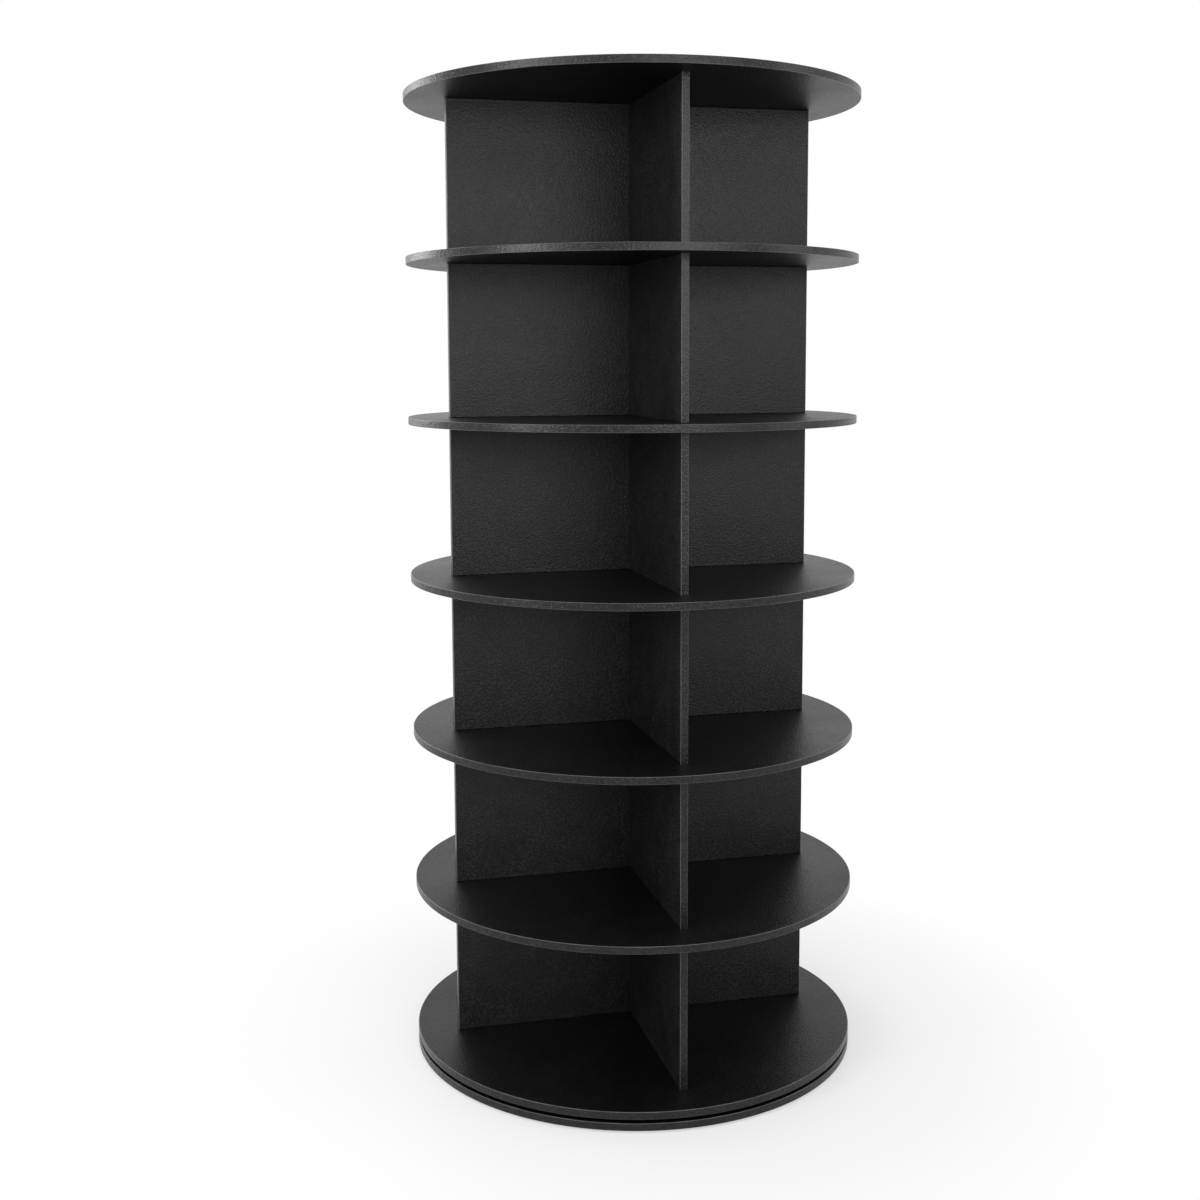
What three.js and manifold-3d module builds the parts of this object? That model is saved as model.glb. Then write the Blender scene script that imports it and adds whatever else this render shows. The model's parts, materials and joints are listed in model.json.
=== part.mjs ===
// Rotating shoe tower: round shelves with crossed dividers between them, on a ball-bearing turntable.
// Millimetres, +Z up. The origin is on the spin axis at floor level, and the front dividers point to -Y.

import * as THREE from 'three';
import { mergeVertices } from 'three/addons/utils/BufferGeometryUtils.js';
import Module from 'manifold-3d';

const wasm = await Module();
wasm.setup();

// Round boards and their edging
const discRadius = 300;
const boardThickness = 9.5;
const bandThickness = 1;
const bandArris = 0.6;

// Tiers and dividers
const tierCount = 6;
const tierClearHeight = 200;
const dividerReach = 248;
const dividerThickness = 9.5;

// Gap between the base and the turntable board, and the ring-shaped recess in the base
const turntableGap = 5;
const recessDepth = 4;
const recessMargin = 2;

// Ball bearing: two flat rings side by side, with a race in each of the walls that face each other
const ballPathRadius = 140;
const ballRadius = 2.4;
const ballCount = 18;
const raceClearance = 0.45;
const ringWallGap = 1.8;
const innerRingWidth = 20;
const outerRingWidth = 20;
const ringLift = 1;
const cageThickness = 0.8;
const cageHeight = 5;

// Countersunk screws of the bearing rings, and the hole in the base that a driver goes through
const ringScrewCount = 4;
const ringScrewRadius = 1.8;
const ringScrewHeadRadius = 3.8;
const ringScrewHeadHeight = 2.2;
const ringScrewBite = 4;
const accessHoleRadius = 7;

// Countersunk hex-socket screws that hold the top board on the dividers, one in each arm of the cross
const topScrewCount = 4;
const topScrewReach = 165;
const topScrewRadius = 2;
const topScrewHeadRadius = 4.5;
const topScrewHeadHeight = 2.8;
const topScrewBite = 30;
const socketRadius = 2;
const socketDepth = 1.6;

// Wooden dowels on the axis, which line up the crosses of the tiers
const dowelRadius = 3;
const dowelBite = 14;

// Pads under the base
const footCount = 5;
const footRadius = 16;
const footThickness = 3;
const footInset = 42;
const footArris = 0.8;

// Clearances
const seatGap = 0.1;
const holeClearance = 0.2;
const cutOverrun = 1;

// Facets
const discSides = 52;
const ringSides = 56;
const raceSteps = 4;
const footSides = 16;
const accessHoleSides = 16;
const screwSides = 12;
const socketSides = 6;
const ballSides = 8;
const ballBands = 4;

// Heights, from the floor up
const baseBottom = footThickness + seatGap;
const baseTop = baseBottom + boardThickness;
const recessFloor = baseTop - recessDepth;
const turntableBottom = baseTop + turntableGap;
const tierPitch = tierClearHeight + boardThickness;
const boardBottomAt = (level) => turntableBottom + level * tierPitch;
const tierFloorAt = (tier) => boardBottomAt(tier) + boardThickness;

// Bearing sizes that follow from the gap and the recess
const bearingStack = turntableGap + recessDepth;
const ringHeight = bearingStack - ringLift - seatGap;
const raceHeight = recessFloor + bearingStack / 2;
const innerRingBottom = recessFloor + seatGap;
const outerRingBottom = recessFloor + ringLift;
const innerRingWall = ballPathRadius - ringWallGap / 2;
const outerRingWall = ballPathRadius + ringWallGap / 2;
const innerScrewCircle = innerRingWall - innerRingWidth / 2;
const outerScrewCircle = outerRingWall + outerRingWidth / 2;

// Materials
const finish = (color, roughness, metalness) => new THREE.MeshStandardMaterial({ color, roughness, metalness });
const boardFinish = finish(0x1c1c1d, 0.42, 0);
const bandFinish = finish(0x2b2b2c, 0.5, 0);
const rubberFinish = finish(0x111111, 0.9, 0);
const aluminiumFinish = finish(0xb8babd, 0.35, 1);
const cageFinish = finish(0xe6e3da, 0.55, 0);
const steelFinish = finish(0x8f9296, 0.3, 1);
const blackSteelFinish = finish(0x232325, 0.4, 0.8);
const dowelFinish = finish(0xc79f68, 0.7, 0);

// Closed solid for joining and cutting. A turned profile that touches the axis leaves triangles
// without area there, which are dropped.
function toSolid(geometry) {
  const bare = geometry.clone();
  bare.deleteAttribute('normal');
  bare.deleteAttribute('uv');
  const merged = mergeVertices(bare);
  const corners = merged.index.array;
  const triVerts = [];
  for (let i = 0; i < corners.length; i += 3) {
    const [a, b, c] = [corners[i], corners[i + 1], corners[i + 2]];
    if (a !== b && b !== c && c !== a) triVerts.push(a, b, c);
  }
  return new wasm.Manifold(new wasm.Mesh({
    numProp: 3,
    vertProperties: Float32Array.from(merged.attributes.position.array),
    triVerts: Uint32Array.from(triVerts),
  }));
}

function toGeometry(solid) {
  const mesh = solid.getMesh();
  const geometry = new THREE.BufferGeometry();
  geometry.setAttribute('position', new THREE.BufferAttribute(mesh.vertProperties, 3));
  geometry.setIndex(new THREE.BufferAttribute(mesh.triVerts, 1));
  geometry.computeVertexNormals();
  return geometry;
}

function cut(body, cutters) {
  return toGeometry(cutters.reduce((solid, cutter) => solid.subtract(toSolid(cutter)), toSolid(body)));
}

function join(bodies) {
  return toGeometry(bodies.map(toSolid).reduce((whole, body) => whole.add(body)));
}

// Profile of [radius, height] points turned about +Z. Its outer side runs upwards.
function turned(profile, sides) {
  const points = profile.map(([radius, height]) => new THREE.Vector2(radius, height));
  return new THREE.LatheGeometry(points, sides).rotateX(Math.PI / 2);
}

const turnedRing = (profile, sides) => turned([...profile, profile[0]], sides);

// Round bar along +Z from one height to another
function bar(radius, bottom, top, sides) {
  return turned([[0, bottom], [radius, bottom], [radius, top], [0, top]], sides);
}

// The same geometry at evenly spaced places on a circle
function aroundAxis(geometry, radius, count, firstAngle) {
  return Array.from({ length: count }, (_, i) => {
    const angle = firstAngle + (i * 2 * Math.PI) / count;
    return geometry.clone().translate(radius * Math.cos(angle), radius * Math.sin(angle), 0);
  });
}

// Round board without its edging, standing on z = 0
const coreRadius = discRadius - bandThickness - seatGap;
const plainBoard = () => bar(coreRadius, 0, boardThickness, discSides);

// Thin edging strip round a board, with eased arrises
function edgeBand() {
  const inner = discRadius - bandThickness;
  return turnedRing([
    [inner, 0],
    [discRadius - bandArris, 0],
    [discRadius, bandArris],
    [discRadius, boardThickness - bandArris],
    [discRadius - bandArris, boardThickness],
    [inner, boardThickness],
  ], discSides);
}

// Countersunk screw with its flat head at z = 0 and its point down; grown by a clearance it is its own hole
function screwProfile(sizes, grow) {
  const { radius, headRadius, headHeight, length } = sizes;
  return [
    [0, -length - grow],
    [radius + grow, -length - grow],
    [radius + grow, -headHeight],
    [headRadius + grow, 0],
    [0, 0],
  ];
}

const ringScrew = {
  radius: ringScrewRadius,
  headRadius: ringScrewHeadRadius,
  headHeight: ringScrewHeadHeight,
  length: ringHeight + seatGap + ringScrewBite,
};
const topScrew = {
  radius: topScrewRadius,
  headRadius: topScrewHeadRadius,
  headHeight: topScrewHeadHeight,
  length: boardThickness + topScrewBite,
};

const screwBlank = (sizes) => turned(screwProfile(sizes, 0), screwSides);

// Hole for a screw, open above its head
function screwHole(sizes) {
  const profile = screwProfile(sizes, holeClearance);
  const [mouthRadius] = profile[profile.length - 2];
  const open = [...profile.slice(0, -1), [mouthRadius, cutOverrun], [0, cutOverrun]];
  return turned(open, screwSides);
}

// Screw with a hex socket in its head
function socketScrew(sizes) {
  return cut(screwBlank(sizes), [bar(socketRadius, -socketDepth, cutOverrun, socketSides)]);
}

// Base board with the bearing's recess, the pilot holes of the inner ring and the driver's access hole
function baseBoard() {
  const recessInner = innerRingWall - innerRingWidth - recessMargin;
  const recessOuter = outerRingWall + outerRingWidth + recessMargin;
  const floor = boardThickness - recessDepth;
  const board = turned([
    [0, 0],
    [coreRadius, 0],
    [coreRadius, boardThickness],
    [recessOuter, boardThickness],
    [recessOuter, floor],
    [recessInner, floor],
    [recessInner, boardThickness],
    [0, boardThickness],
  ], discSides);
  const screwTop = innerRingBottom + ringHeight - baseBottom;
  const pilots = aroundAxis(screwHole(ringScrew).translate(0, 0, screwTop), innerScrewCircle, ringScrewCount, 0);
  const access = bar(accessHoleRadius, -cutOverrun, floor + cutOverrun, accessHoleSides);
  const [accessHole] = aroundAxis(access, outerScrewCircle, 1, Math.PI / ringScrewCount);
  return cut(board, [...pilots, accessHole]);
}

// Half-round race: points on the arc of the groove, seen from the ball's centre, between the ring's faces.
// side is -1 for the inner ring's race and +1 for the outer ring's.
function racePoints(side) {
  const grooveRadius = ballRadius + raceClearance;
  const halfAngle = Math.acos(ringWallGap / 2 / grooveRadius);
  return Array.from({ length: raceSteps + 1 }, (_, i) => {
    const angle = -halfAngle + (i * 2 * halfAngle) / raceSteps;
    return [ballPathRadius + side * grooveRadius * Math.cos(angle), raceHeight + grooveRadius * Math.sin(angle)];
  });
}

function bearingRing(side, bottom, width, screwHoles) {
  const wall = ballPathRadius + (side * ringWallGap) / 2;
  const rim = wall + side * width;
  const top = bottom + ringHeight;
  const profile = [[wall, bottom], ...racePoints(side), [wall, top], [rim, top], [rim, bottom]];
  if (side > 0) profile.reverse();
  return cut(turnedRing(profile, ringSides), screwHoles);
}

// Cage strip between the rings, with the balls held in it
function ballCage() {
  const strip = turnedRing([
    [ballPathRadius - cageThickness / 2, raceHeight - cageHeight / 2],
    [ballPathRadius + cageThickness / 2, raceHeight - cageHeight / 2],
    [ballPathRadius + cageThickness / 2, raceHeight + cageHeight / 2],
    [ballPathRadius - cageThickness / 2, raceHeight + cageHeight / 2],
  ], ringSides);
  const ball = new THREE.SphereGeometry(ballRadius, ballSides, ballBands).translate(0, 0, raceHeight);
  return join([strip, ...aroundAxis(ball, ballPathRadius, ballCount, 0)]);
}

// Rubber pad with an eased lower arris
function footPad() {
  return turned([
    [0, 0],
    [footRadius - footArris, 0],
    [footRadius, footArris],
    [footRadius, footThickness],
    [0, footThickness],
  ], footSides);
}

const dowelHoleRadius = dowelRadius + holeClearance;

// Shelf or turntable board with the dowel's hole through its centre
function dowelledBoard(cutters = []) {
  const hole = bar(dowelHoleRadius, -cutOverrun, boardThickness + cutOverrun, screwSides);
  return cut(plainBoard(), [hole, ...cutters]);
}

// Divider panels, standing on z = 0
const panelHeight = tierClearHeight - 2 * seatGap;
const halfPanelLength = dividerReach - dividerThickness / 2 - seatGap;

function uprightBox(lengthX, lengthY) {
  return new THREE.BoxGeometry(lengthX, lengthY, panelHeight).translate(0, 0, panelHeight / 2);
}

// Holes that the dowels leave in the ends of a full-width panel
function dowelSockets(isTopTier) {
  const depth = dowelBite + holeClearance;
  const lower = bar(dowelHoleRadius, -cutOverrun, depth, screwSides);
  const upper = bar(dowelHoleRadius, panelHeight - depth, panelHeight + cutOverrun, screwSides);
  return isTopTier ? [lower] : [lower, upper];
}

// Hole of a top screw, in a panel that stands on z = 0
const topScrewHole = (x, y) => screwHole(topScrew).translate(x, y, panelHeight + seatGap + boardThickness);

function fullPanel(isTopTier) {
  const screws = isTopTier ? [topScrewHole(-topScrewReach, 0), topScrewHole(topScrewReach, 0)] : [];
  return cut(uprightBox(2 * dividerReach, dividerThickness), [...dowelSockets(isTopTier), ...screws]);
}

// side is -1 for the front panel and +1 for the rear one
function halfPanel(side, isTopTier) {
  const panel = uprightBox(dividerThickness, halfPanelLength);
  panel.translate(0, side * (dividerReach - halfPanelLength / 2), 0);
  return isTopTier ? cut(panel, [topScrewHole(0, side * topScrewReach)]) : panel;
}

// Assembly: the base stands still, the cage turns between the rings, the tower turns on top
const tower = new THREE.Group();
const standing = new THREE.Group();
const cage = new THREE.Group();
const turning = new THREE.Group();
tower.add(standing, cage, turning);

function place(group, name, geometry, material, [x, y, z] = [0, 0, 0]) {
  const mesh = new THREE.Mesh(geometry, material);
  mesh.name = name;
  mesh.position.set(x, y, z);
  group.add(mesh);
  return mesh;
}

// Place on a circle about the axis
const onCircle = (radius, index, count, firstAngle, z) => {
  const angle = firstAngle + (index * 2 * Math.PI) / count;
  return [radius * Math.cos(angle), radius * Math.sin(angle), z];
};

// Base
place(standing, 'base_disc', baseBoard(), boardFinish, [0, 0, baseBottom]);
place(standing, 'base_edge_band', edgeBand(), bandFinish, [0, 0, baseBottom]);
for (let i = 0; i < footCount; i += 1) {
  const spot = onCircle(discRadius - footInset, i, footCount, Math.PI / 2, 0);
  place(standing, `foot_pad_${i + 1}`, footPad(), rubberFinish, spot);
}

// Bearing
const innerScrewTop = innerRingBottom + ringHeight;
const innerScrewHole = screwHole(ringScrew).translate(0, 0, innerScrewTop);
const innerHoles = aroundAxis(innerScrewHole, innerScrewCircle, ringScrewCount, 0);
const innerRing = bearingRing(-1, innerRingBottom, innerRingWidth, innerHoles);
place(standing, 'bearing_inner_ring', innerRing, aluminiumFinish);

const outerFirstAngle = Math.PI / ringScrewCount;
const upsideDown = (geometry) => geometry.rotateX(Math.PI);
const outerScrewHole = upsideDown(screwHole(ringScrew)).translate(0, 0, outerRingBottom);
const outerHoles = aroundAxis(outerScrewHole, outerScrewCircle, ringScrewCount, outerFirstAngle);
const outerRing = bearingRing(1, outerRingBottom, outerRingWidth, outerHoles);
place(turning, 'bearing_outer_ring', outerRing, aluminiumFinish);
place(cage, 'ball_cage', ballCage(), cageFinish);

for (let i = 0; i < ringScrewCount; i += 1) {
  const innerSpot = onCircle(innerScrewCircle, i, ringScrewCount, 0, innerScrewTop);
  const outerSpot = onCircle(outerScrewCircle, i, ringScrewCount, outerFirstAngle, outerRingBottom);
  place(standing, `inner_ring_screw_${i + 1}`, screwBlank(ringScrew), steelFinish, innerSpot);
  place(turning, `outer_ring_screw_${i + 1}`, upsideDown(screwBlank(ringScrew)), steelFinish, outerSpot);
}

// Turntable board and shelves, each with its edging and the dowel through its centre
for (let level = 0; level < tierCount; level += 1) {
  const isTurntable = level === 0;
  const bottom = boardBottomAt(level);
  const ringPilots = outerHoles.map((hole) => hole.clone().translate(0, 0, -bottom));
  const board = isTurntable ? dowelledBoard(ringPilots) : dowelledBoard();
  const boardName = isTurntable ? 'turntable' : `shelf_${level}`;
  place(turning, `${boardName}_disc`, board, boardFinish, [0, 0, bottom]);
  place(turning, `${boardName}_edge_band`, edgeBand(), bandFinish, [0, 0, bottom]);
  const dowelBottom = isTurntable ? 0 : -dowelBite;
  const pin = bar(dowelRadius, dowelBottom, boardThickness + dowelBite, screwSides);
  place(turning, `${boardName}_centre_dowel`, pin, dowelFinish, [0, 0, bottom]);
}

// Top board with its screws
const topBottom = boardBottomAt(tierCount);
const topSurface = topBottom + boardThickness;
const topHole = screwHole(topScrew).translate(0, 0, boardThickness);
const topHoles = aroundAxis(topHole, topScrewReach, topScrewCount, 0);
place(turning, 'top_disc', cut(plainBoard(), topHoles), boardFinish, [0, 0, topBottom]);
place(turning, 'top_edge_band', edgeBand(), bandFinish, [0, 0, topBottom]);
for (let i = 0; i < topScrewCount; i += 1) {
  const spot = onCircle(topScrewReach, i, topScrewCount, 0, topSurface);
  place(turning, `top_screw_${i + 1}`, socketScrew(topScrew), blackSteelFinish, spot);
}

// Dividers: one full-width panel and two half panels in each tier
for (let tier = 0; tier < tierCount; tier += 1) {
  const isTopTier = tier === tierCount - 1;
  const spot = [0, 0, tierFloorAt(tier) + seatGap];
  const name = `tier_${tier + 1}`;
  place(turning, `${name}_full_panel`, fullPanel(isTopTier), boardFinish, spot);
  place(turning, `${name}_front_panel`, halfPanel(-1, isTopTier), boardFinish, spot);
  place(turning, `${name}_rear_panel`, halfPanel(1, isTopTier), boardFinish, spot);
}

export default tower;
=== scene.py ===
import json
import math

import bpy
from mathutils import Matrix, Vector


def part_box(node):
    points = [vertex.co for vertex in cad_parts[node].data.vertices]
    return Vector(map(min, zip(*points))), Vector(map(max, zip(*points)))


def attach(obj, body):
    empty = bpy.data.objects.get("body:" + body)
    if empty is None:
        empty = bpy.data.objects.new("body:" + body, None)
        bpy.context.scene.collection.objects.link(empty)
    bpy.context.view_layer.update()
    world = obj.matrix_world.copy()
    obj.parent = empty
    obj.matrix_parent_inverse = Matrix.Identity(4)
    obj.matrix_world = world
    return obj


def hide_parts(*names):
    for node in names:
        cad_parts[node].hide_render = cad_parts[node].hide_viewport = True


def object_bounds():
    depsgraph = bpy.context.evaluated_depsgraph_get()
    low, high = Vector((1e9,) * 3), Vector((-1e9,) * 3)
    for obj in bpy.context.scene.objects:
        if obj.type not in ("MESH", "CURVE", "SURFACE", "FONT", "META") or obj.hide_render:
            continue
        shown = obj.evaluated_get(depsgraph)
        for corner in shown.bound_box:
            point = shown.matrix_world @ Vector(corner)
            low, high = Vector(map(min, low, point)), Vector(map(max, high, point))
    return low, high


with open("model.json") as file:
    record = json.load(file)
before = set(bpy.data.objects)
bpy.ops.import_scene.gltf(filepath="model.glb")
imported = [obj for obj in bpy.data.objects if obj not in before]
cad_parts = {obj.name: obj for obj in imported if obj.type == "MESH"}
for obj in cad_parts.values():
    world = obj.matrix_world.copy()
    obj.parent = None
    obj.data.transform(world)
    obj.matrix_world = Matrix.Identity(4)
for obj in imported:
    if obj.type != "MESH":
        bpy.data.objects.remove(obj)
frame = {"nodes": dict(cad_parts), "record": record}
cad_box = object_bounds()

# Rotating shoe tower in black melamine board: finished boards, edging strips, screws, pads and bearing,
# a pale studio and the camera. Metres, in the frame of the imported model.

MM = 0.001
WHITE = (1.0, 1.0, 1.0, 1.0)

# Facets of the turned pieces
BOARD_SIDES = 256
RING_SIDES = 160
PAD_SIDES = 64
SCREW_SIDES = 40
HEX_SIDES = 6
BALL_RINGS = 14
BALL_SIDES = 24
ARC_STEPS = 4
# Least angle between two faces that shows as an edge, in degrees
SHARP_ANGLE = 32.0

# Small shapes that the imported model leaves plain
EDGING_THICKNESS = 1.0 * MM
EDGING_ARRIS = 0.6 * MM
BOARD_ARRIS = 0.15 * MM
JOINT_ARRIS = 0.6 * MM
SEAM = 0.06 * MM
PAD_ARRIS = 0.9 * MM
PAD_TOP_ARRIS = PAD_ARRIS / 2
HOLE_PLAY = 0.15 * MM
RECESS_MARGIN = 2.0 * MM
ACCESS_HOLE = 7.0 * MM
SEAT = 0.1 * MM
CAGE_WALL = 0.8 * MM
BALL_COUNT = 18
# Latitude in degrees at which a ball ends in a small flat
BALL_CAP = 88.0
# How far a cutter runs past the face that it opens
OVERRUN = 1.0 * MM
# A divider's end nearer to the axis than this many half thicknesses meets the full-width panel
NEAR_AXIS = 4.0

# Screws: the socket and shank are shares of the head's radius, the tip a share of the shank's
SCREW_ARRIS = 0.25 * MM
SCREW_RIM = 0.5 * MM
SOCKET_SHARE = 0.46
SOCKET_DEPTH = 1.8 * MM
SHANK_SHARE = 0.45
TIP_SHARE = 0.3

# Values between which a noise mostly stays
NOISE_LOW = 0.3
NOISE_HIGH = 0.7
# Distances within a grain's cell at which its pebble's crown ends and its foot begins
PEBBLE_CROWN = 0.1
PEBBLE_FOOT = 0.75
# Sockets of a Mix node that blends colours
FIRST_COLOUR = 6
SECOND_COLOUR = 7
MIXED_COLOUR = 2

# Floor: its side, the distances from the axis between which it whitens, and its share of white at the nearer
FLOOR_SIDE = 14.0
FLOOR_NEAR = 0.3
FLOOR_FAR = 0.7
FLOOR_NEAR_WHITE = 0.5
# How strongly the white surroundings light the tower, reflections apart
WORLD_LIGHT = 0.55

# Camera, fitted to the photograph: angles in degrees, lens and sensor in millimetres
VIEW_AZIMUTH = 14.94
VIEW_DISTANCE = 2.104
VIEW_HEIGHT = 0.945
VIEW_PITCH = -6.406
VIEW_YAW = -1.163
VIEW_ROLL = 0.218
LENS = 46.59
SENSOR = 36.0
SHIFT_Y = -0.0583


# Node graphs
class Graph:
    """Short calls that add nodes to a node tree."""

    def __init__(self, tree):
        self.tree = tree

    def node(self, kind, inputs=None, **settings):
        """Adds a node. An input is a value or a socket of another node, a setting one of its properties."""
        made = self.tree.nodes.new(kind)
        for key, value in settings.items():
            setattr(made, key, value)
        for key, value in (inputs or {}).items():
            if isinstance(value, bpy.types.NodeSocket):
                self.tree.links.new(value, made.inputs[key])
            else:
                made.inputs[key].default_value = value
        return made

    def span(self, value, low, high, to_low=0.0, to_high=1.0):
        """Moves the range from low to high onto another."""
        inputs = {"Value": value, "From Min": low, "From Max": high, "To Min": to_low, "To Max": to_high}
        return self.node("ShaderNodeMapRange", inputs).outputs["Result"]

    def calculate(self, operation, first, second):
        return self.node("ShaderNodeMath", {0: first, 1: second}, operation=operation).outputs["Value"]

    def plus(self, first, second):
        return self.calculate("ADD", first, second)

    def times(self, first, second):
        return self.calculate("MULTIPLY", first, second)

    def background_rays(self):
        """1 for camera, mirror and transmission rays, which see the background white, and 0 for others."""
        path = self.node("ShaderNodeLightPath").outputs
        bounced = self.plus(path["Is Glossy Ray"], path["Is Transmission Ray"])
        return self.calculate("MINIMUM", self.plus(path["Is Camera Ray"], bounced), 1.0)


class Finish(Graph):
    """A material with one Principled shader, and short calls for the nodes behind it."""

    def __init__(self, name, **values):
        self.material = bpy.data.materials.new(name)
        self.material.use_nodes = True
        super().__init__(self.material.node_tree)
        self.shader = self.tree.nodes["Principled BSDF"]
        self.place = self.node("ShaderNodeTexCoord").outputs["Object"]
        for socket, value in values.items():
            self.shader.inputs[socket.replace("_", " ")].default_value = value

    def noise(self, scale, detail=3.0, roughness=0.55, place=None):
        inputs = {"Vector": place or self.place, "Scale": scale, "Detail": detail, "Roughness": roughness}
        return self.node("ShaderNodeTexNoise", inputs).outputs["Fac"]

    def spread(self, noise, to_low=0.0, to_high=1.0):
        """Moves the values that a noise mostly has onto a range."""
        return self.span(noise, NOISE_LOW, NOISE_HIGH, to_low, to_high)

    def cells(self, scale, smoothness):
        inputs = {"Vector": self.place, "Scale": scale, "Smoothness": smoothness}
        return self.node("ShaderNodeTexVoronoi", inputs, feature="SMOOTH_F1").outputs["Distance"]

    def pebbles(self, scale, smoothness, fleck_scale):
        """Height of a pebbled grain that flecks break up, and the flecks."""
        pebble = self.span(self.cells(scale, smoothness), PEBBLE_CROWN, PEBBLE_FOOT, 1.0, 0.0)
        fleck = self.noise(fleck_scale, roughness=0.6)
        return self.times(pebble, self.spread(fleck)), fleck

    def mix(self, factor, first, second):
        """Blends two colours, each of them a socket or three numbers."""
        colours = [(*value, 1.0) if isinstance(value, tuple) else value for value in (first, second)]
        inputs = {"Factor": factor, FIRST_COLOUR: colours[0], SECOND_COLOUR: colours[1]}
        return self.node("ShaderNodeMix", inputs, data_type="RGBA").outputs[MIXED_COLOUR]

    def attribute(self, name):
        return self.node("ShaderNodeAttribute", attribute_name=name).outputs["Fac"]

    def bump(self, height, strength, depth):
        inputs = {"Height": height, "Strength": strength, "Distance": depth}
        return self.node("ShaderNodeBump", inputs).outputs["Normal"]

    def use(self, socket, value):
        self.tree.links.new(value, self.shader.inputs[socket])

    def use_grain(self, height, strength, depth):
        """Bump on the surface and on its coat."""
        grain = self.bump(height, strength, depth)
        self.use("Normal", grain)
        self.use("Coat Normal", grain)


# Materials
def melamine(name, shaded_pit, crown, smooth, rough):
    """Black melamine pressed with a pebbled grain, satin, faintly smudged by hands and dusty; its colour
    holds painted shade in the grain's pits and painted glints on its crowns.
    """
    finish = Finish(name, Specular_IOR_Level=0.2, Coat_Weight=0.14, Coat_Roughness=0.34)
    height, fleck = finish.pebbles(scale=370.0, smoothness=0.5, fleck_scale=420.0)
    handling = finish.noise(scale=6.0, detail=4.0, roughness=0.6)
    drift = finish.noise(scale=30.0)
    # The painted pit shade and crown glints come and go over the board
    presence = finish.span(finish.plus(handling, drift), low=0.8, high=1.15, to_low=0.35)
    # Painted shade and painted glints: the pit colour where the grain is low, the crown colour where it is
    # high
    painted_pit_shade_and_glint = finish.times(finish.span(height, low=0.1, high=0.55), presence)
    colour = finish.mix(painted_pit_shade_and_glint, shaded_pit, crown)
    dust, dust_cover = (0.03, 0.03, 0.031), 0.05
    settled = finish.span(finish.times(handling, drift), low=0.2, high=0.5, to_high=dust_cover)
    finish.use("Base Color", finish.mix(settled, colour, dust))
    satin = finish.spread(handling, smooth, rough)
    finish.use("Roughness", finish.plus(satin, finish.spread(fleck, to_low=0.06, to_high=-0.06)))
    finish.use_grain(height, strength=0.75, depth=0.43 * MM)
    return finish.material


def edging():
    """Black PVC strip, pebbled like the boards with painted shade in its pits and painted glints on its
    crowns, and with painted highlights along its arrises.
    """
    shaded_pit, crown, painted_highlight_colour = (0.0012, 0.0013, 0.0015), (0.015, 0.0158, 0.018), (0.15, 0.152, 0.157)
    finish = Finish("edging_pvc", Specular_IOR_Level=0.3, Coat_Weight=0.06, Coat_Roughness=0.2)
    height, _ = finish.pebbles(scale=330.0, smoothness=0.4, fleck_scale=430.0)
    drift = finish.noise(scale=24.0)
    # Painted shade and painted glints, as on the boards: the pit colour where the grain is low, the crown
    # colour where it is high
    colour = finish.mix(finish.span(height, low=0.1, high=0.5), shaded_pit, crown)
    # Painted highlight: the arrises take a paler colour, stronger in some stretches than in others
    painted_highlight_share = finish.times(finish.attribute("arris"), finish.spread(drift, to_low=0.35, to_high=0.8))
    finish.use("Base Color", finish.mix(painted_highlight_share, colour, painted_highlight_colour))
    finish.use("Roughness", finish.span(height, low=0.1, high=0.5, to_low=0.36, to_high=0.26))
    finish.use_grain(height, strength=0.75, depth=0.4 * MM)
    return finish.material


def rubber():
    """Matt black pad rubber with fine pores and a trace of dust."""
    black, dusty = (0.008, 0.008, 0.008), (0.03, 0.029, 0.028)
    finish = Finish("pad_rubber", Specular_IOR_Level=0.3)
    pores = finish.noise(scale=1800.0)
    dust = finish.span(finish.noise(scale=60.0, detail=4.0), low=0.4, high=0.7)
    finish.use("Base Color", finish.mix(dust, black, dusty))
    finish.use("Roughness", finish.spread(pores, to_low=0.7, to_high=0.92))
    finish.use("Normal", finish.bump(pores, strength=0.3, depth=0.1 * MM))
    return finish.material


def radius_of(finish):
    """Distance from the spin axis, as a socket."""
    parts = finish.node("ShaderNodeSeparateXYZ", {"Vector": finish.place}).outputs
    flat = finish.node("ShaderNodeCombineXYZ", {"X": parts["X"], "Y": parts["Y"]}).outputs["Vector"]
    return finish.node("ShaderNodeVectorMath", {0: flat}, operation="LENGTH").outputs["Value"]


def turned_aluminium():
    """Clear anodised aluminium with the fine rings that turning leaves."""
    dark, light = (0.5, 0.51, 0.52), (0.64, 0.65, 0.66)
    finish = Finish("bearing_aluminium", Metallic=1.0)
    ring_place = finish.node("ShaderNodeCombineXYZ", {"X": radius_of(finish)}).outputs["Vector"]
    rings = finish.noise(scale=3200.0, detail=2.0, place=ring_place)
    cloud = finish.noise(scale=30.0)
    finish.use("Base Color", finish.mix(cloud, dark, light))
    finish.use("Roughness", finish.spread(rings, to_low=0.26, to_high=0.4))
    finish.use("Normal", finish.bump(rings, strength=0.2, depth=0.03 * MM))
    return finish.material


def steel(name, dark, light, smooth, rough):
    """Plated, blackened or polished steel with fine scratches."""
    finish = Finish(name, Metallic=1.0)
    scratch = finish.noise(scale=2600.0)
    cloud = finish.noise(scale=300.0)
    finish.use("Base Color", finish.mix(cloud, dark, light))
    finish.use("Roughness", finish.spread(scratch, smooth, rough))
    finish.use("Normal", finish.bump(scratch, strength=0.12, depth=0.02 * MM))
    return finish.material


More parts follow.
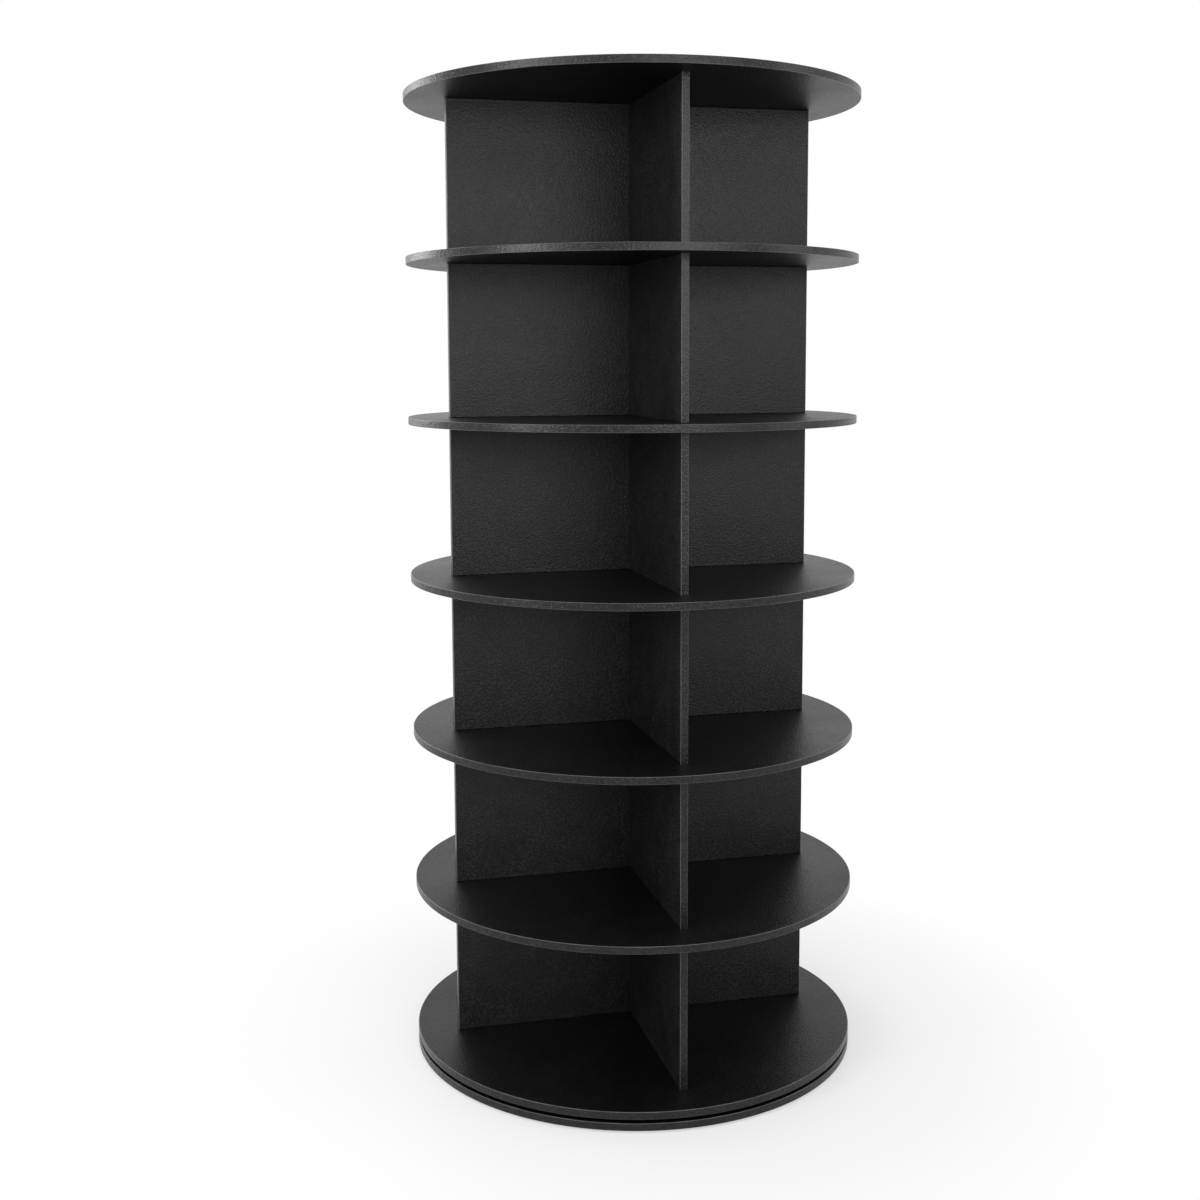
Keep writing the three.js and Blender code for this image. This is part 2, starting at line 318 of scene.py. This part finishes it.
def nylon():
    """Natural nylon of the ball cage, slightly cloudy."""
    dark, light = (0.68, 0.66, 0.6), (0.8, 0.78, 0.73)
    finish = Finish("cage_nylon", Subsurface_Weight=0.15)
    cloud = finish.noise(scale=90.0)
    fine = finish.noise(scale=1500.0, detail=2.0)
    finish.use("Base Color", finish.mix(cloud, dark, light))
    finish.use("Roughness", finish.spread(fine, to_low=0.4, to_high=0.55))
    finish.use("Normal", finish.bump(fine, strength=0.15, depth=0.05 * MM))
    return finish.material


def beech():
    """Plain beech dowel, with its grain along the axis."""
    dark, light = (0.4, 0.25, 0.12), (0.62, 0.44, 0.25)
    long_grain = (1.0, 1.0, 0.06)
    finish = Finish("dowel_beech", Specular_IOR_Level=0.3)
    stretch = finish.node("ShaderNodeMapping", {"Vector": finish.place, "Scale": long_grain})
    grain = finish.noise(scale=1400.0, detail=5.0, roughness=0.65, place=stretch.outputs["Vector"])
    finish.use("Base Color", finish.mix(finish.span(grain, low=0.35, high=0.65), dark, light))
    finish.use("Roughness", finish.spread(grain, to_low=0.55, to_high=0.75))
    finish.use("Normal", finish.bump(grain, strength=0.25, depth=0.08 * MM))
    return finish.material


# One black melamine in two copies: the shelves' copy darker, as painted shade, the dividers' copy lighter,
# as painted light
SHELF_FINISH_PAINTED_SHADE = melamine(
    "shelf_melamine", shaded_pit=(0.001, 0.001, 0.0011), crown=(0.008, 0.0081, 0.0086), smooth=0.39, rough=0.49
)
DIVIDER_FINISH_PAINTED_LIGHT = melamine(
    "divider_melamine", shaded_pit=(0.003, 0.003, 0.0032), crown=(0.027, 0.0274, 0.0287), smooth=0.38, rough=0.48
)
EDGING = edging()
RUBBER = rubber()
ALUMINIUM = turned_aluminium()
ZINC = steel("zinc_steel", dark=(0.42, 0.43, 0.45), light=(0.6, 0.6, 0.61), smooth=0.22, rough=0.36)
BLACK_STEEL = steel(
    "black_steel", dark=(0.02, 0.02, 0.021), light=(0.045, 0.045, 0.047), smooth=0.3, rough=0.45
)
BALL_STEEL = steel("ball_steel", dark=(0.6, 0.6, 0.61), light=(0.68, 0.68, 0.69), smooth=0.06, rough=0.14)
NYLON = nylon()
BEECH = beech()


# Meshes
def piece(name, vertices, faces, material, body, nodes=(), arris=None):
    """Adds a mesh object that rides on a body, has a slot for its finish and may stand for CAD nodes."""
    mesh = bpy.data.meshes.new(name)
    mesh.from_pydata(vertices, [], faces)
    mesh.validate()
    mesh.materials.append(material)
    mesh.shade_smooth()
    mesh.set_sharp_from_angle(angle=math.radians(SHARP_ANGLE))
    # The arris attribute places the edging's painted highlight
    if arris is not None:
        mesh.attributes.new("arris", "FLOAT", "POINT").data.foreach_set("value", arris)
    made = bpy.data.objects.new(name, mesh)
    bpy.context.scene.collection.objects.link(made)
    made.modifiers.new("flat_faces_stay_flat", "WEIGHTED_NORMAL").keep_sharp = True
    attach(made, body)
    if nodes:
        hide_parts(*nodes)


def arc(centre_x, centre_y, radius, start, end, steps=ARC_STEPS):
    """Points along an arc, angles in degrees."""
    angles = [math.radians(start + (end - start) * i / steps) for i in range(steps + 1)]
    return [(centre_x + radius * math.cos(a), centre_y + radius * math.sin(a)) for a in angles]


def circle(radius, sides, centre=(0.0, 0.0)):
    angles = [2 * math.pi * i / sides for i in range(sides)]
    return [(centre[0] + radius * math.cos(a), centre[1] + radius * math.sin(a)) for a in angles]


def turned_mesh(profile, sides, centre=(0.0, 0.0), is_ring=False):
    """Vertices and faces of a profile of (radius, height) points turned about a vertical axis.
    A ring's profile closes on itself; a solid's ends are flat caps."""
    count = len(profile)
    vertices = [(*place, height) for radius, height in profile for place in circle(radius, sides, centre)]
    faces = []
    for i in range(count if is_ring else count - 1):
        low, high = i * sides, (i + 1) % count * sides
        for j in range(sides):
            k = (j + 1) % sides
            faces.append((low + j, low + k, high + k, high + j))
    if not is_ring:
        faces.append(tuple(reversed(range(sides))))
        faces.append(tuple(range((count - 1) * sides, count * sides)))
    return vertices, faces


def stacked_mesh(sections):
    """Vertices and faces of a solid through flat outlines, given from the bottom up with their heights.
    Each outline runs anticlockwise as seen from above."""
    count = len(sections[0][0])
    vertices = [(x, y, height) for outline, height in sections for x, y in outline]
    faces = []
    for low in range(0, (len(sections) - 1) * count, count):
        high = low + count
        for i in range(count):
            j = (i + 1) % count
            faces.append((low + i, low + j, high + j, high + i))
    top = len(vertices) - count
    return vertices, [*faces, tuple(reversed(range(count))), tuple(range(top, top + count))]


def prism_mesh(outline, bottom, top):
    return stacked_mesh([(outline, bottom), (outline, top)])


def bored(vertices, faces, cutters):
    """Vertices and faces of a solid with holes cut into it."""
    solids = []
    for solid_vertices, solid_faces in [(vertices, faces), *cutters]:
        mesh = bpy.data.meshes.new("solid")
        mesh.from_pydata(solid_vertices, [], solid_faces)
        solids.append(bpy.data.objects.new("solid", mesh))
        bpy.context.scene.collection.objects.link(solids[-1])
    body, *holes = solids
    for cutter in holes:
        hole = body.modifiers.new("hole", "BOOLEAN")
        hole.object, hole.operation, hole.solver = cutter, "DIFFERENCE", "EXACT"
    bpy.context.view_layer.update()
    cut = body.evaluated_get(bpy.context.evaluated_depsgraph_get()).data
    result = [tuple(v.co) for v in cut.vertices], [tuple(p.vertices) for p in cut.polygons]
    for solid in solids:
        bpy.data.objects.remove(solid)
    return result


def middle_of(node):
    low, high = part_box(node)
    return (low + high) / 2


def inner_radius(node):
    """Least distance of a CAD node from the spin axis."""
    return min(v.co.xy.length for v in frame["nodes"][node].data.vertices)


# Pins that pass through boards: dowels, and screws, whose boxes are as wide as their heads
def pin_radius(node):
    low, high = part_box(node)
    half_width = (high.x - low.x) / 2
    return half_width * SHANK_SHARE if "screw" in node else half_width


def pin_holes(node):
    """Cutters for the pins whose boxes run into a node's box, with a countersink for each top screw."""
    low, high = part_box(node)
    cutters = []
    for pin in frame["nodes"]:
        if not ("screw" in pin or "dowel" in pin):
            continue
        pin_low, pin_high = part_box(pin)
        if any(pin_low[i] > high[i] or pin_high[i] < low[i] for i in range(3)):
            continue
        centre, radius = tuple(middle_of(pin).xy), pin_radius(pin) + HOLE_PLAY
        profile = [(radius, pin_low.z - HOLE_PLAY), (radius, pin_high.z + HOLE_PLAY)]
        if pin.startswith("top_screw"):
            head = (pin_high.x - pin_low.x) / 2 + HOLE_PLAY
            cone = pin_high.z - (head - radius)
            profile = [profile[0], (radius, cone), (head, pin_high.z), (head, pin_high.z + OVERRUN)]
        cutters.append(turned_mesh(profile, SCREW_SIDES, centre))
    return cutters


# Round boards
def board(node, body, inside=(), cutters=()):
    """A round melamine board with barely eased edges, in the place of its CAD node.
    inside continues its upper face towards the axis."""
    low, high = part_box(node)
    radius = high.x + SEAM
    profile = [
        (radius - BOARD_ARRIS, low.z),
        (radius, low.z + BOARD_ARRIS),
        (radius, high.z - BOARD_ARRIS),
        (radius - BOARD_ARRIS, high.z),
        *inside,
    ]
    vertices, faces = bored(*turned_mesh(profile, BOARD_SIDES), [*pin_holes(node), *cutters])
    piece(f"{node}_board", vertices, faces, SHELF_FINISH_PAINTED_SHADE, body, [node])


def base_board(node, body):
    """The base, with the bearing's recess and the hole that a driver goes through."""
    low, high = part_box(node)
    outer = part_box("bearing_outer_ring")[1].x + RECESS_MARGIN
    inner = inner_radius("bearing_inner_ring") - RECESS_MARGIN
    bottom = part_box("bearing_inner_ring")[0].z - SEAT
    recess = [(outer, high.z), (outer, bottom), (inner, bottom), (inner, high.z)]
    profile = [(ACCESS_HOLE, low.z - OVERRUN), (ACCESS_HOLE, high.z)]
    access = turned_mesh(profile, SCREW_SIDES, tuple(middle_of("outer_ring_screw_1").xy))
    board(node, body, recess, [access])


def on_arris(inset):
    """1 on the outer half of an edging's round arris, falling to 0 where its flat begins: the mask of the
    edging's painted highlight.
    """
    return min(1.0, max(0.0, 2.0 * (1.0 - inset / EDGING_ARRIS)))


def board_edging(node, body):
    """The strip round a board, with round arrises."""
    low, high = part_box(node)
    outer, inner = high.x, high.x - EDGING_THICKNESS
    corner = outer - EDGING_ARRIS
    profile = [
        (inner, low.z),
        *arc(corner, low.z + EDGING_ARRIS, EDGING_ARRIS, -90, 0),
        *arc(corner, high.z - EDGING_ARRIS, EDGING_ARRIS, 0, 90),
        (inner, high.z),
    ]
    vertices, faces = turned_mesh(profile, BOARD_SIDES, is_ring=True)
    middle, half = (low.z + high.z) / 2, (high.z - low.z) / 2
    # Where the strip's painted arris highlight lies
    arris_highlight_mask = [on_arris(half - abs(v[2] - middle)) for v in vertices]
    piece(f"{node}_strip", vertices, faces, EDGING, body, [node], arris_highlight_mask)


# Divider panels
def panel(node, body):
    """A divider's board and the edging on its open ends, in the place of its CAD node."""
    low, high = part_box(node)
    along = 0 if high.x - low.x > high.y - low.y else 1
    half = (high[1 - along] - low[1 - along]) / 2
    ends = [low[along], high[along]]
    # An end that stops at the axis meets the full-width panel and has no edging
    open_ends = [abs(end) > NEAR_AXIS * half for end in ends]
    cover = EDGING_THICKNESS + SEAM
    core = [end - math.copysign(cover, end) if is_open else end for end, is_open in zip(ends, open_ends)]
    arris = [BOARD_ARRIS if is_open else JOINT_ARRIS for is_open in open_ends]
    name = node.replace("_panel", "")

    def turned_out(points):
        """Points given along and across the panel, as X and Y, anticlockwise."""
        return points if along == 0 else [(across, run) for run, across in reversed(points)]

    def section(inset):
        """The board's outline from above, with all its sides moved in."""
        start, stop, side = core[0] + inset, core[1] - inset, half - inset
        first, last = arris
        corners = [
            (start + first, -side), (stop - last, -side), (stop, -side + last), (stop, side - last),
            (stop - last, side), (start + first, side), (start, side - first), (start, -side + first),
        ]
        return turned_out(corners)

    levels = [
        (JOINT_ARRIS, low.z),
        (0.0, low.z + JOINT_ARRIS),
        (0.0, high.z - JOINT_ARRIS),
        (JOINT_ARRIS, high.z),
    ]
    solid = stacked_mesh([(section(inset), height) for inset, height in levels])
    vertices, faces = bored(*solid, pin_holes(node))
    piece(f"{name}_board", vertices, faces, DIVIDER_FINISH_PAINTED_LIGHT, body, [node])

    for index, (end, is_open) in enumerate(zip(ends, open_ends)):
        if not is_open:
            continue
        side = math.copysign(1.0, end)
        inner, corner = end - side * EDGING_THICKNESS, end - side * EDGING_ARRIS
        turn = 0 if side > 0 else 180
        strip = [
            (inner, -side * half),
            *arc(corner, -side * (half - EDGING_ARRIS), EDGING_ARRIS, turn - 90, turn),
            *arc(corner, side * (half - EDGING_ARRIS), EDGING_ARRIS, turn, turn + 90),
            (inner, side * half),
        ]
        vertices, faces = prism_mesh(turned_out(strip), low.z, high.z)
        # Where the strip's painted arris highlight lies
        arris_highlight_mask = [on_arris(half - abs(v[1 - along])) for v in vertices]
        piece(f"{name}_edging_{index + 1}", vertices, faces, EDGING, body, arris=arris_highlight_mask)


# Pads, screws and the cage
def pad(node, body):
    low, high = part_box(node)
    centre = tuple(middle_of(node).xy)
    radius = (high.y - low.y) / 2
    profile = [
        *arc(radius - PAD_ARRIS, low.z + PAD_ARRIS, PAD_ARRIS, -90, 0),
        *arc(radius - PAD_TOP_ARRIS, high.z - PAD_TOP_ARRIS, PAD_TOP_ARRIS, 0, 90),
    ]
    vertices, faces = turned_mesh(profile, PAD_SIDES, centre)
    piece(f"{node}_rubber", vertices, faces, RUBBER, body, [node])


def socket_screw(node, body):
    """Countersunk screw with a hex socket, its head flush with the top board."""
    low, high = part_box(node)
    centre = tuple(middle_of(node).xy)
    head, shank = (high.x - low.x) / 2, pin_radius(node)
    cone = high.z - (head - shank)
    profile = [
        (shank * TIP_SHARE, low.z),
        (shank, low.z + shank),
        (shank, cone),
        (head, high.z - SCREW_RIM),
        (head - SCREW_ARRIS, high.z),
    ]
    outline = circle(head * SOCKET_SHARE, HEX_SIDES, centre)
    hexagon = prism_mesh(outline, high.z - SOCKET_DEPTH, high.z + OVERRUN)
    vertices, faces = bored(*turned_mesh(profile, SCREW_SIDES, centre), [hexagon])
    piece(f"{node}_steel", vertices, faces, BLACK_STEEL, body, [node])


def ball_cage(node, body):
    """The nylon strip, with polished balls in place of the CAD node's faceted ones."""
    low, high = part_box(node)
    middle = (low.z + high.z) / 2
    path = (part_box("bearing_inner_ring")[1].x + inner_radius("bearing_outer_ring")) / 2
    ball_radius = high.x - path
    inner, outer = path - CAGE_WALL / 2, path + CAGE_WALL / 2
    profile = [(inner, low.z), (outer, low.z), (outer, high.z), (inner, high.z)]
    vertices, faces = turned_mesh(profile, RING_SIDES, is_ring=True)
    piece("ball_cage_strip", vertices, faces, NYLON, body, [node])
    half_circle = arc(0.0, middle, ball_radius, -BALL_CAP, BALL_CAP, BALL_RINGS)
    for i, centre in enumerate(circle(path, BALL_COUNT)):
        vertices, faces = turned_mesh(half_circle, BALL_SIDES, centre)
        piece(f"bearing_ball_{i + 1:02d}", vertices, faces, BALL_STEEL, body)


def refinish(node, material):
    """Keeps a CAD node's shape and gives it a finish."""
    made = frame["nodes"][node]
    made.data.materials.clear()
    made.data.materials.append(material)


def dress():
    """Gives every CAD node its finish, or its finished piece."""
    for body, members in frame["record"]["behaviour"]["bodies"].items():
        for node in members:
            if node == "base_disc":
                base_board(node, body)
            elif node.endswith("_disc"):
                board(node, body)
            elif node.endswith("_edge_band"):
                board_edging(node, body)
            elif node.endswith("_panel"):
                panel(node, body)
            elif node.startswith("foot_pad"):
                pad(node, body)
            elif node.startswith("top_screw"):
                socket_screw(node, body)
            elif node == "ball_cage":
                ball_cage(node, body)
            elif node.endswith("_ring"):
                refinish(node, ALUMINIUM)
            elif node.endswith("_dowel"):
                refinish(node, BEECH)
            else:
                refinish(node, ZINC)


dress()


# Studio: pale floor that whitens away from the tower, white surroundings, soft lamps
def floor():
    dark, light = (0.86, 0.86, 0.86), (0.89, 0.89, 0.89)
    finish = Finish("floor_pale", Roughness=0.55, Specular_IOR_Level=0.3)
    cloud = finish.noise(scale=2.0)
    finish.use("Base Color", finish.mix(cloud, dark, light))
    away = finish.span(radius_of(finish), FLOOR_NEAR, FLOOR_FAR, to_low=FLOOR_NEAR_WHITE)
    factor = finish.times(away, finish.background_rays())
    white = finish.node("ShaderNodeEmission", {"Color": WHITE, "Strength": 1.0}).outputs["Emission"]
    inputs = {0: factor, 1: finish.shader.outputs["BSDF"], 2: white}
    mixed = finish.node("ShaderNodeMixShader", inputs).outputs["Shader"]
    finish.tree.links.new(mixed, finish.tree.nodes["Material Output"].inputs["Surface"])
    half = FLOOR_SIDE / 2
    corners = [(-half, -half, 0.0), (half, -half, 0.0), (half, half, 0.0), (-half, half, 0.0)]
    mesh = bpy.data.meshes.new("floor")
    mesh.from_pydata(corners, [], [(0, 1, 2, 3)])
    mesh.materials.append(finish.material)
    made = bpy.data.objects.new("floor", mesh)
    bpy.context.scene.collection.objects.link(made)


def surroundings():
    """White all round to the eye and in reflections, and dimmer where it lights the tower."""
    world = bpy.data.worlds.new("studio")
    bpy.context.scene.world = world
    world.use_nodes = True
    graph = Graph(world.node_tree)
    strength = graph.span(graph.background_rays(), 0.0, 1.0, to_low=WORLD_LIGHT)
    background = graph.tree.nodes["Background"]
    background.inputs["Color"].default_value = WHITE
    graph.tree.links.new(strength, background.inputs["Strength"])


def on_axis(height):
    return (0.0, 0.0, height)


def softbox(name, place, aim, width, height, power):
    data = bpy.data.lights.new(name, "AREA")
    data.shape, data.size, data.size_y, data.energy = "RECTANGLE", width, height, power
    lamp = bpy.data.objects.new(name, data)
    lamp.location = place
    lamp.rotation_euler = (Vector(aim) - Vector(place)).to_track_quat("-Z", "Y").to_euler()
    bpy.context.scene.collection.objects.link(lamp)


def studio():
    """The floor, the surroundings and the lamps, their powers in watts."""
    floor()
    surroundings()
    middle = on_axis((cad_box[0].z + cad_box[1].z) / 2)
    crown = on_axis(cad_box[1].z)
    softbox("softbox_left", place=(-2.3, -1.9, 1.9), aim=middle, width=1.0, height=1.8, power=14.0)
    softbox("softbox_side", place=(-2.45, -1.05, 1.4), aim=on_axis(1.2), width=0.6, height=1.2, power=27.0)
    softbox("softbox_right", place=(2.5, -1.2, 1.5), aim=middle, width=0.8, height=1.6, power=9.0)
    softbox("softbox_back", place=(-0.4, 2.2, 2.8), aim=middle, width=1.4, height=1.0, power=10.0)
    softbox("softbox_rear", place=(-2.0, 2.2, 1.4), aim=middle, width=1.2, height=1.2, power=24.0)
    softbox("softbox_front", place=(0.45, -2.7, 1.3), aim=on_axis(1.0), width=1.9, height=0.72, power=21.5)
    softbox("softbox_top", place=(-0.7, -1.9, 2.6), aim=crown, width=1.4, height=1.0, power=12.0)


def camera():
    data = bpy.data.cameras.new("camera")
    data.lens, data.sensor_width, data.shift_y = LENS, SENSOR, SHIFT_Y
    made = bpy.data.objects.new("camera", data)
    azimuth, heading = math.radians(VIEW_AZIMUTH), math.radians(VIEW_AZIMUTH + VIEW_YAW)
    made.location = (-VIEW_DISTANCE * math.sin(azimuth), -VIEW_DISTANCE * math.cos(azimuth), VIEW_HEIGHT)
    made.rotation_euler = (math.radians(90.0 + VIEW_PITCH), math.radians(VIEW_ROLL), -heading)
    bpy.context.scene.collection.objects.link(made)
    bpy.context.scene.camera = made


studio()
camera()
bpy.context.scene.view_settings.view_transform = "Standard"
